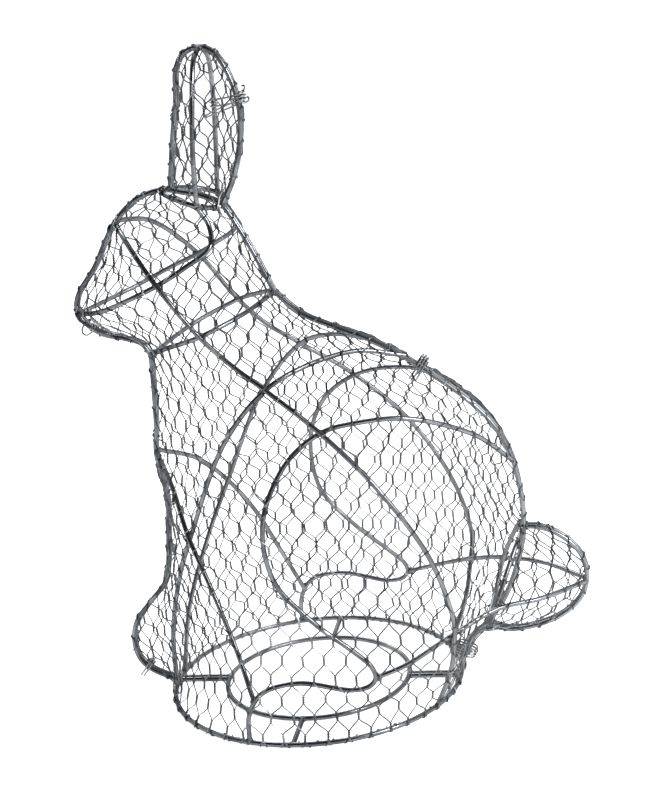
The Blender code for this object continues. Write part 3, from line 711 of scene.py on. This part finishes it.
def unrolled(points, faces):
    """Each point's place on the surface laid flat with little stretch, upright and to scale."""
    mesh = bpy.data.meshes.new("unrolled")
    mesh.from_pydata(points.tolist(), [], faces.tolist())
    guide = bpy.data.objects.new("unrolled", mesh)
    bpy.context.collection.objects.link(guide)
    for other in bpy.context.selected_objects:
        other.select_set(False)
    bpy.context.view_layer.objects.active = guide
    guide.select_set(True)
    mesh.uv_layers.new(name="flat")
    bpy.ops.object.mode_set(mode="EDIT")
    bpy.ops.mesh.select_all(action="SELECT")
    bpy.ops.uv.unwrap(method="MINIMUM_STRETCH", margin=0, iterations=40)
    bpy.ops.object.mode_set(mode="OBJECT")
    loops = np.zeros(len(mesh.loops) * 2)
    mesh.uv_layers["flat"].data.foreach_get("uv", loops)
    index = np.zeros(len(mesh.loops), int)
    mesh.loops.foreach_get("vertex_index", index)
    laid = np.zeros((len(points), 2))
    laid[index] = loops.reshape(-1, 2)
    bpy.data.objects.remove(guide)
    bpy.data.meshes.remove(mesh)
    sides = points[faces[:, 1]] - points[faces[:, 0]], points[faces[:, 2]] - points[faces[:, 0]]
    real = np.linalg.norm(np.cross(*sides), axis=1).sum()
    flat = laid[faces[:, 1]] - laid[faces[:, 0]], laid[faces[:, 2]] - laid[faces[:, 0]]
    drawn = flat[0][:, 0] * flat[1][:, 1] - flat[0][:, 1] * flat[1][:, 0]
    laid *= math.sqrt(real / abs(drawn.sum()))
    laid -= laid.mean(axis=0)
    up = unit(np.linalg.lstsq(laid, points[:, 2] - points[:, 2].mean(), rcond=None)[0])
    return np.column_stack([laid @ (up[1], -up[0]), laid @ up])


# Netting

def strand_places(low, high, net, random):
    """Flat places and depths of each strand of netting over a flat rectangle.

    A strand is twisted round one neighbour, crosses over on a slant and is twisted round
    its other neighbour. Depth is how far it stands out of the surface in a twist.
    """
    pitch, row = net.mesh_width / MM, net.mesh_width / MM * net.row_share
    twist, reach = pitch * net.twist_share, net.wire / MM / 2
    rows = np.arange(math.floor(low[1] / row) - 1, math.ceil(high[1] / row) + 2)
    columns = np.arange(math.floor(low[0] / pitch) - 2, math.ceil(high[0] / pitch) + 3)
    shifts = random.normal(0, net.slack / MM / 2, (len(rows), len(columns), 2))
    leans = random.normal(0, TWIST_LEAN, (len(rows), len(columns)))
    lengths = random.normal(1, TWIST_SPREAD, (len(rows), len(columns)))
    samples = np.linspace(0, 1, TWIST_POINTS * net.turns + 1)
    slant = np.linspace(0, 1, SLANT_POINTS)[1:-1]
    for column in range(1, len(columns) - 1):
        for way in (1, -1):
            flat, depth = [], []
            for spot, j in enumerate(rows):
                odd = j % 2
                pick = column - (1 if odd and way < 0 else 0)
                centre = np.array(((columns[pick] + 0.5 * odd) * pitch, j * row))
                centre = centre + shifts[spot, pick]
                lean = leans[spot, pick]
                up = np.array((math.sin(lean), math.cos(lean)))
                across = np.array((up[1], -up[0]))
                hand = way * (-1 if odd else 1)
                turn = 2 * math.pi * net.turns * samples + (0 if hand > 0 else math.pi)
                length = twist * lengths[spot, pick]
                line = (centre + (samples - 0.5)[:, None] * length * up
                        + (reach * np.cos(turn))[:, None] * across)
                if flat:
                    flat.append(crossover(flat[-1][-1], old_up, line[0], up, slant))
                    depth.append(np.zeros(len(slant)))
                flat.append(line)
                depth.append(reach * np.sin(turn))
                old_up = up
            yield np.vstack(flat), np.concatenate(depth)


def crossover(start, start_up, end, end_up, shares):
    """Gently bent slanted wire between two twists."""
    t = shares[:, None]
    pull = SLANT_PULL * np.linalg.norm(end - start)
    return ((2 * t**3 - 3 * t**2 + 1) * start + (t**3 - 2 * t**2 + t) * pull * start_up
            + (3 * t**2 - 2 * t**3) * end + (t**3 - t**2) * pull * end_up)


def on_surface(flat, depth, laid, points, normals, faces, tree):
    """Points of a strand on the surface with the surface's normals, and whether each is on it."""
    found = np.zeros(len(flat), bool)
    result, up = np.zeros((len(flat), 3)), np.zeros((len(flat), 3))
    for row, (u, v) in enumerate(flat):
        spot, _, face, gap = tree.find_nearest((u, v, 0))
        if face is None or gap > OFF_NET:
            continue
        a, b, c = faces[face]
        corners = [Vector((*laid[i], 0)) for i in (a, b, c)]
        place = barycentric_transform(spot, *corners, *(Vector(points[i]) for i in (a, b, c)))
        normal = barycentric_transform(spot, *corners, *(Vector(normals[i]) for i in (a, b, c)))
        found[row] = True
        up[row] = unit(normal)
        result[row] = np.array(place) + depth[row] * up[row]
    return result, up, found


def pushed_clear(path, rods, reach):
    """The path with every point at least reach from the rods' centre lines."""
    path = path.copy()
    for row, point in enumerate(path):
        near, _, gap = rods.find(point)
        if gap < reach:
            near = np.array(near)
            path[row] = near + unit(point - near) * reach
    return path


def wrapped_end(path, edge, reach, turns, pitch):
    """Coil of a cut wire end round its edge rod, carrying on from the path's last point."""
    centre, heading = to_path(path[-1], edge)
    centre, heading = centre[0], heading[0]
    radial = path[-1] - centre
    radial = unit(radial - (radial @ heading) * heading)
    travel = path[-1] - path[-2]
    onward = np.cross(heading, radial)
    if onward @ travel < 0:
        onward = -onward
    count = max(FEWEST_POINTS, round(turns * COIL_POINTS))
    turn = np.linspace(0, 2 * math.pi * turns, count)[1:, None]
    shift = pitch * turn / (2 * math.pi) * (1 if travel @ heading >= 0 else -1)
    around = np.cos(turn) * radial + np.sin(turn) * onward
    return centre + reach * around + shift * heading, around


def net_runs(name, paths, net, random):
    """Every wire of one net: its path and the side direction of its section."""
    rods = settings().topiary_rods
    rod_reach, wire = rods.diameter / MM / 2, net.wire / MM
    reach = rod_reach + wire / 2
    stretches, ribs, grid = NETS[name]
    edge = np.vstack([stretch(paths[rod], first, last) for rod, first, last in stretches])
    coarse = np.vstack([thinned(stretch(paths[rod], first, last), EDGE_STEP)
                        for rod, first, last in stretches])
    points, faces = skin(coarse, [thinned(paths[rib], EDGE_STEP) for rib in ribs], grid)
    normals = normals_of(points, faces)
    laid = unrolled(points, faces)
    points = points + normals * reach
    tree = BVHTree.FromPolygons([(*place, 0) for place in laid.tolist()], faces.tolist())
    rod_tree = nearest_on(paths.values())
    hoops = nearest_on([paths["ear_hoop"], paths["tail_hoop"]])
    low, high = laid.min(axis=0), laid.max(axis=0)
    for flat, depth in strand_places(low, high, net, random):
        place, up, found = on_surface(flat, depth, laid, points, normals, faces, tree)
        # A wire ends at the net's edge, and where the flat net's folds lie over each other
        steps = np.linalg.norm(np.diff(place, axis=0), axis=1)
        ends = np.flatnonzero((found[1:] != found[:-1]) | (steps > LONGEST_STEP)) + 1
        for rows in np.split(np.arange(len(flat)), ends):
            if not found[rows[0]] or len(rows) < SHORTEST_RUN:
                continue
            run, lifts = place[rows], up[rows]
            run = pushed_clear(run, rod_tree, reach)
            for _ in range(2):
                turns = net.wrap + random.uniform(-WRAP_SPREAD, WRAP_SPREAD)
                # The hoops carry two nets, so there is no room for windings
                if hoops.find(run[-1])[2] < HOOP_RADII * rod_reach:
                    turns = net.hook
                coil, around = wrapped_end(run, edge, reach, turns, random.uniform(*WRAP_PITCH))
                if np.linalg.norm(coil[0] - run[-1]) < WRAP_REACH:
                    run, lifts = np.vstack([run, coil]), np.vstack([lifts, around])
                run, lifts = run[::-1], lifts[::-1]
            yield run, lifts


def nearest_on(paths):
    """Search tree of places along the paths."""
    samples = np.vstack([smooth_samples(path) for path in paths])
    tree = KDTree(len(samples))
    for place, sample in enumerate(samples):
        tree.insert(sample, place)
    tree.balance()
    return tree


def smooth_samples(path):
    """Evenly spaced points along a path."""
    along = lengths_along(path)
    places = np.linspace(0, along[-1], math.ceil(along[-1] / SAMPLE_STEP) + 1)
    return np.column_stack([np.interp(places, along, path[:, i]) for i in range(3)])


# Materials

# Roughness of each half's rods, and how much it goes up and down in patches and up at the tail
LEFT_ROUGH, RIGHT_ROUGH = 0.27, 0.36
DULLER, SHINIER, HAZE = 0.08, 0.06, 0.07

# Dull zinc stays grey where it is seen edge-on
EDGE_TINT = (0.36, 0.37, 0.39, 1.0)
WHITE = (1, 1, 1, 1)


def linear(code):
    """Linear colour of an sRGB hex value."""
    values = [int(code[i:i + 2], 16) / 255 for i in (1, 3, 5)]
    return (*((v / 12.92 if v <= 0.04045 else ((v + 0.055) / 1.055) ** 2.4) for v in values), 1.0)


def node(tree, kind, inputs=None, **options):
    """Adds a node, sets its options, and fills or links its inputs."""
    made = tree.nodes.new(kind)
    for key, value in options.items():
        setattr(made, key, value)
    for key, value in (inputs or {}).items():
        if isinstance(value, bpy.types.NodeSocket):
            tree.links.new(value, made.inputs[key])
        else:
            made.inputs[key].default_value = value
    return made


def new_material(name):
    finish = bpy.data.materials.new(name)
    finish.use_nodes = True
    finish.node_tree.nodes.clear()
    return finish, finish.node_tree


def mottle(tree, place, size, detail=2.0, roughness=0.5):
    """Noise with features of about the given size in metres, fixed to the piece."""
    made = node(tree, "ShaderNodeTexNoise", {
        "Vector": place.outputs["Object"], "Scale": 1 / size, "Detail": detail,
        "Roughness": roughness})
    return made.outputs["Fac"]


def toned(tree, value, low, dark, high, light):
    """Colour that goes from the dark to the light hex value while the input goes up."""
    ramp = node(tree, "ShaderNodeValToRGB", {"Fac": value})
    for end, position, code in zip(ramp.color_ramp.elements, (low, high), (dark, light)):
        end.position, end.color = position, linear(code)
    return ramp.outputs["Color"]


def ranged(tree, value, low, high, start=0.0, end=1.0):
    """The input's range between two values, carried over to another range."""
    made = node(tree, "ShaderNodeMapRange", {
        "Value": value, "From Min": low, "From Max": high, "To Min": start, "To Max": end})
    return made.outputs["Result"]


def bumped(tree, height, strength, distance, **under):
    made = node(tree, "ShaderNodeBump", {
        "Height": height, "Strength": strength, "Distance": distance, **under})
    return made.outputs["Normal"]


def shaded(tree, inputs):
    """Gives a material its shader."""
    shader = node(tree, "ShaderNodeBsdfPrincipled", inputs)
    node(tree, "ShaderNodeOutputMaterial", {"Surface": shader.outputs["BSDF"]})


def galvanised_rod(name, light, dark, even):
    """Steel rod, drawn through a die and dipped in zinc.

    The zinc gives a soft grey metal shine in lighter and darker cloudy patches some 12 mm
    long, dull where it has weathered, over faint lines along the rod from the drawing.
    """
    finish, tree = new_material(name)
    place = node(tree, "ShaderNodeTexCoord")
    patches = mottle(tree, place, 0.012, 3.0, 0.55)
    tone = toned(tree, patches, 0.34, dark, 0.66, light)
    # Drawing lines 0.25 mm apart, stretched forty times along the rod
    lines_at = node(tree, "ShaderNodeMapping", {
        "Vector": place.outputs["UV"], "Scale": (1 / 0.01, 1 / 0.00025, 1.0)})
    lines = node(tree, "ShaderNodeTexNoise", {
        "Vector": lines_at.outputs["Vector"], "Scale": 1.0, "Detail": 2.0})
    drawn = bumped(tree, lines.outputs["Fac"], 0.2, 0.00003)
    # Zinc grain of 0.6 mm
    grained = bumped(tree, mottle(tree, place, 0.0006), 0.25, 0.00004, Normal=drawn)
    rough = ranged(tree, patches, 0.3, 0.7, even + DULLER, even - SHINIER)
    # Painted light: the zinc gets lighter towards the tail, standing in for the light on the rear
    # rods, and it is also a little hazier there
    parts = node(tree, "ShaderNodeSeparateXYZ", {"Vector": place.outputs["Object"]})
    painted_tail_light = ranged(tree, parts.outputs["X"], 0.0, 0.15)
    zinc = node(tree, "ShaderNodeMix", {
        0: painted_tail_light, 6: tone, 7: linear(settings().topiary_colours.painted_tail_light)}, data_type="RGBA")
    haze = node(tree, "ShaderNodeMath", {0: painted_tail_light, 1: HAZE, 2: rough}, operation="MULTIPLY_ADD")
    shaded(tree, {
        "Base Color": zinc.outputs[2], "Metallic": 1.0, "Specular Tint": EDGE_TINT,
        "Roughness": haze.outputs["Value"], "Normal": grained})
    return finish


def galvanised_netting(name):
    """Fine netting wire, galvanised before it was woven.

    It is as grey as the rods but more matt, and darker where the machine rubbed it.
    """
    colours = settings().topiary_colours
    finish, tree = new_material(name)
    rubs = mottle(tree, node(tree, "ShaderNodeTexCoord"), 0.006, 3.0)
    shaded(tree, {
        "Base Color": toned(tree, rubs, 0.38, colours.netting_dark, 0.62, colours.netting),
        "Metallic": 1.0, "Specular Tint": EDGE_TINT,
        "Roughness": ranged(tree, rubs, 0.3, 0.7, 0.5, 0.34)})
    return finish


def burnt_weld(name):
    """Resistance weld, squeezed out and scorched, under a thin coat of zinc.

    It is dark and matt, with a pitted skin about a millimetre coarse.
    """
    colours = settings().topiary_colours
    finish, tree = new_material(name)
    pits = mottle(tree, node(tree, "ShaderNodeTexCoord"), 0.0011, 4.0)
    shaded(tree, {
        "Base Color": toned(tree, pits, 0.4, colours.weld, 0.7, colours.left),
        "Metallic": 0.85, "Roughness": 0.55, "Normal": bumped(tree, pits, 0.8, 0.0003)})
    return finish


def bright_tie_wire(name):
    """Soft iron wire with a new zinc coat, smoother and brighter than the rods.

    Plier marks and handling dull it in spots of 1.5 mm.
    """
    finish, tree = new_material(name)
    marks = mottle(tree, node(tree, "ShaderNodeTexCoord"), 0.0015)
    shaded(tree, {
        "Base Color": linear(settings().topiary_colours.tie), "Metallic": 1.0,
        "Specular Tint": EDGE_TINT, "Roughness": ranged(tree, marks, 0.35, 0.65, 0.22, 0.42)})
    return finish


def studio_paper(name):
    """Matt paper, nearly white, lit from below as on a light table."""
    finish, tree = new_material(name)
    shaded(tree, {
        "Base Color": linear(settings().topiary_colours.floor), "Roughness": 0.9,
        "Specular IOR Level": 0.1, "Emission Color": WHITE, "Emission Strength": 0.85})
    return finish


def finish_named(name, make, *colours):
    return bpy.data.materials.get(name) or make(name, *colours)


def rod_finish(side):
    """Finish of one half's rods: the left half's zinc is painted darker, as painted shade on the
    near side, and the right half's lighter, as painted light on the far side.
    """
    colours = settings().topiary_colours
    if side == "left":
        name, zinc = "weathered galvanised rod", (colours.left, colours.left_dark, LEFT_ROUGH)
    else:
        name, zinc = "pale galvanised rod", (colours.right, colours.right_dark, RIGHT_ROUGH)
    return finish_named(name, galvanised_rod, *zinc)


# Operators

class OBJECT_OT_topiary_rods(bpy.types.Operator):
    """Build the round rods, base rings and spokes of both halves"""

    bl_idname = "object.topiary_rods"
    bl_label = "Rods"

    def execute(self, context):
        thickness = context.scene.topiary_rods.diameter
        for rod, path in rod_paths().items():
            for side, way in SIDES:
                finish = rod_finish(side)
                route = mirrored(path, way)
                name = f"round_{rod}_{side}"
                mesh = wire_mesh(name, [(route, carried(route))], thickness, ROD_CORNERS)
                add_piece(name, mesh, finish, [f"{rod}_{side}"])
        return {"FINISHED"}


class OBJECT_OT_topiary_welds(bpy.types.Operator):
    """Build the weld beads where rods end on or cross each other"""

    bl_idname = "object.topiary_welds"
    bl_label = "Welds"

    def execute(self, context):
        rods = context.scene.topiary_rods
        paths = rod_paths()
        spots = []
        for rod, ends in HOSTS.items():
            for last, host in zip((0, -1), ends):
                end = paths[rod][last]
                near, heading = to_path(end, paths[host])
                away = unit(paths[rod][1 if last == 0 else -2] - end)
                spots.append((near[0] + away * rods.diameter / MM * BEAD_OUT, heading[0]))
        for _, outer, inner in WELDS.values():
            _, one, two = path_gap(paths[outer], paths[inner])
            _, heading = to_path(two, paths[inner])
            _, other = to_path(one, paths[outer])
            spots.append(((one + two) / 2, unit(heading[0] + other[0])))
        finish = finish_named("scorched weld bead", burnt_weld)
        for side, way in SIDES:
            mesh = bead_mesh(f"weld_beads_{side}", spots, rods, way)
            add_piece(f"weld_beads_{side}", mesh, finish)
        return {"FINISHED"}


def bead_mesh(name, spots, rods, way):
    """Lumpy beads at the weld spots, each longest along its heading."""
    random = np.random.default_rng(BEAD_SEED)
    whole = bmesh.new()
    for place, heading in spots:
        made = bmesh.ops.create_icosphere(whole, subdivisions=2, radius=0.5)["verts"]
        heading = heading * (1, way, 1)
        turn = Vector(heading).to_track_quat("X", "Z").to_matrix()
        place = Vector(place * (1, way, 1))
        long = rods.weld_length / MM * random.uniform(*BEAD_LONG)
        wide = rods.weld_width / MM * random.uniform(*BEAD_WIDE)
        for vertex in made:
            swell = 1 + random.uniform(-BEAD_LUMPS, BEAD_LUMPS)
            local = Vector((vertex.co.x * long, vertex.co.y * wide, vertex.co.z * wide)) * swell
            vertex.co = (place + turn @ local) * MM
    mesh = bpy.data.meshes.new(name)
    bmesh.ops.recalc_face_normals(whole, faces=whole.faces)
    whole.to_mesh(mesh)
    whole.free()
    mesh.shade_smooth()
    return mesh


class OBJECT_OT_topiary_nets(bpy.types.Operator):
    """Weave the hexagonal netting of the body, ears and tail over both halves"""

    bl_idname = "object.topiary_nets"
    bl_label = "Netting"

    def execute(self, context):
        net = context.scene.topiary_nets
        finish = finish_named("galvanised netting wire", galvanised_netting)
        paths = rod_paths()
        for place, name in enumerate(NETS):
            for side, way in SIDES:
                random = np.random.default_rng(net.seed + 10 * place + way)
                runs = [(mirrored(run, way), mirrored(lifts, way))
                        for run, lifts in net_runs(name, paths, net, random)]
                if not runs:
                    raise RuntimeError(f"{name} has no wires")
                mesh = wire_mesh(f"woven_{name}_{side}", runs, net.wire, NET_CORNERS)
                add_piece(f"woven_{name}_{side}", mesh, finish, [f"{name}_{side}"])
        return {"FINISHED"}


class OBJECT_OT_topiary_ties(bpy.types.Operator):
    """Wind the wire ties that hold the two halves together"""

    bl_idname = "object.topiary_ties"
    bl_label = "Ties"

    def execute(self, context):
        ties = context.scene.topiary_ties
        rods = context.scene.topiary_rods
        finish = finish_named("bright galvanised tie wire", bright_tie_wire)
        paths = rod_paths()
        for name, (rod, place, turns, reach) in TIES.items():
            routes = [tie_route(paths[rod], place, turns, reach, ties, rods)]
            routes += [smooth_path(tail, SAMPLE_STEP) for tail in TIE_TAILS.get(name, ())]
            runs = [(route, carried(route)) for route in routes]
            mesh = wire_mesh(f"wound_{name}", runs, ties.wire, TIE_CORNERS)
            add_piece(f"wound_{name}", mesh, finish, [name])
        return {"FINISHED"}


def tie_route(profile, place, turns, reach, ties, rods):
    """Long coil round both profile rods at a place on one of them, its ends standing out."""
    _, heading = to_path((place[0], PROFILE_Y, place[1]), profile)
    centre, heading = np.array((place[0], 0, place[1])), heading[0]
    across = np.cross(heading, (0.0, 1.0, 0.0))
    clear = rods.diameter / MM / 2 + ties.wire / MM * 0.5 + TIE_CLEAR
    turn = np.linspace(-TIE_END, 2 * math.pi * turns + TIE_END, round(TIE_POINTS * turns))
    side = clear * np.cos(turn) + PROFILE_Y * np.tanh(TIE_SQUARE * np.cos(turn))
    # Hand-wound turns differ a little in height
    tall = reach * (1 + TIE_UNEVEN * np.sin(1.7 * turn + 1))
    shift = ties.pitch / MM * (turn / (2 * math.pi) - turns / 2)
    return (centre + shift[:, None] * heading + side[:, None] * np.array((0, 1, 0))
            + (tall * np.sin(turn))[:, None] * across)


class OBJECT_OT_topiary_stage(bpy.types.Operator):
    """Set up the floor, the soft lights and the camera"""

    bl_idname = "object.topiary_stage"
    bl_label = "Stage"

    def execute(self, context):
        stage = context.scene.topiary_stage
        half = stage.floor
        mesh = bpy.data.meshes.new("floor")
        corners = [(-half, -half, 0), (half, -half, 0), (half, half, 0), (-half, half, 0)]
        mesh.from_pydata(corners, [], [(0, 1, 2, 3)])
        mesh.materials.append(finish_named("white studio paper", studio_paper))
        floor = bpy.data.objects.new("floor", mesh)
        context.collection.objects.link(floor)
        world = bpy.data.worlds.new("pale room")
        world.use_nodes = True
        room(world.node_tree, stage)
        # The photograph's paper is plain white, which the filmic view would turn grey
        context.scene.view_settings.view_transform = "Standard"
        context.scene.world = world
        for name, (watts, size, place) in LIGHTS.items():
            lamp = bpy.data.lights.new(name, "AREA")
            lamp.energy, lamp.size = getattr(stage, watts), size
            light = bpy.data.objects.new(name, lamp)
            light.location = place
            aim = Vector(LIGHT_AIM) - Vector(place)
            light.rotation_euler = aim.to_track_quat("-Z", "Y").to_euler()
            context.collection.objects.link(light)
        camera = bpy.data.objects.new("camera", bpy.data.cameras.new("camera"))
        camera.data.lens = stage.lens
        camera.data.sensor_width = SENSOR_WIDTH
        camera.matrix_world = camera_place()
        context.collection.objects.link(camera)
        context.scene.camera = camera
        return {"FINISHED"}


def room(tree, stage):
    """White room with one dark end, which gives bright metal its dark cores."""
    tree.nodes.clear()
    place = node(tree, "ShaderNodeTexCoord")
    facing = node(tree, "ShaderNodeVectorMath", {
        0: place.outputs["Generated"], 1: DARK_WAY}, operation="DOT_PRODUCT")
    share = node(tree, "ShaderNodeMapRange", {
        "Value": facing.outputs["Value"], "From Min": DARK_FROM, "From Max": DARK_FULL,
        "To Min": stage.sky, "To Max": stage.dark_end}, interpolation_type="SMOOTHSTEP")
    light = node(tree, "ShaderNodeBackground", {
        "Color": WHITE, "Strength": share.outputs["Result"]})
    node(tree, "ShaderNodeOutputWorld", {"Surface": light.outputs["Background"]})


def camera_place():
    """Where the camera stands: low on the rabbit's left, a little behind, tipped to one side."""
    turn, tip, roll = (math.radians(angle) for angle in CAMERA_ANGLES)
    level = Vector((math.cos(turn), math.sin(turn), 0))
    ahead = Vector((-math.sin(turn) * math.cos(tip), math.cos(turn) * math.cos(tip),
                    -math.sin(tip)))
    above = level.cross(ahead)
    right = math.cos(roll) * level + math.sin(roll) * above
    up = -math.sin(roll) * level + math.cos(roll) * above
    place = Matrix((right, up, -ahead)).transposed().to_4x4()
    place.translation = CAMERA_PLACE
    return place


class VIEW3D_PT_topiary(bpy.types.Panel):
    """Sizes, colours and the pieces of the frame"""

    bl_label = "Rabbit Topiary Frame"
    bl_idname = "VIEW3D_PT_topiary"
    bl_space_type = "VIEW_3D"
    bl_region_type = "UI"
    bl_category = "Topiary"

    def draw(self, context):
        for title, group in GROUPS.items():
            box = self.layout.box()
            box.label(text=group.__doc__)
            settings = getattr(context.scene, title)
            for name in group.__annotations__:
                box.prop(settings, name)
        for operator in OPERATORS:
            self.layout.operator(operator.bl_idname)


GROUPS = {
    "topiary_rods": RodSizes,
    "topiary_nets": NetSizes,
    "topiary_ties": TieSizes,
    "topiary_colours": FinishColours,
    "topiary_stage": StageSettings,
}
OPERATORS = (
    OBJECT_OT_topiary_rods, OBJECT_OT_topiary_welds, OBJECT_OT_topiary_nets,
    OBJECT_OT_topiary_ties, OBJECT_OT_topiary_stage,
)


def register():
    for item in (*GROUPS.values(), *OPERATORS, VIEW3D_PT_topiary):
        bpy.utils.register_class(item)
    for title, group in GROUPS.items():
        setattr(bpy.types.Scene, title, bpy.props.PointerProperty(type=group))


def unregister():
    for title in GROUPS:
        delattr(bpy.types.Scene, title)
    for item in (VIEW3D_PT_topiary, *reversed(OPERATORS), *GROUPS.values()):
        bpy.utils.unregister_class(item)


def main():
    register()
    for operator in OPERATORS:
        group, name = operator.bl_idname.split(".")
        getattr(getattr(bpy.ops, group), name)()


if __name__ == "__main__":
    main()
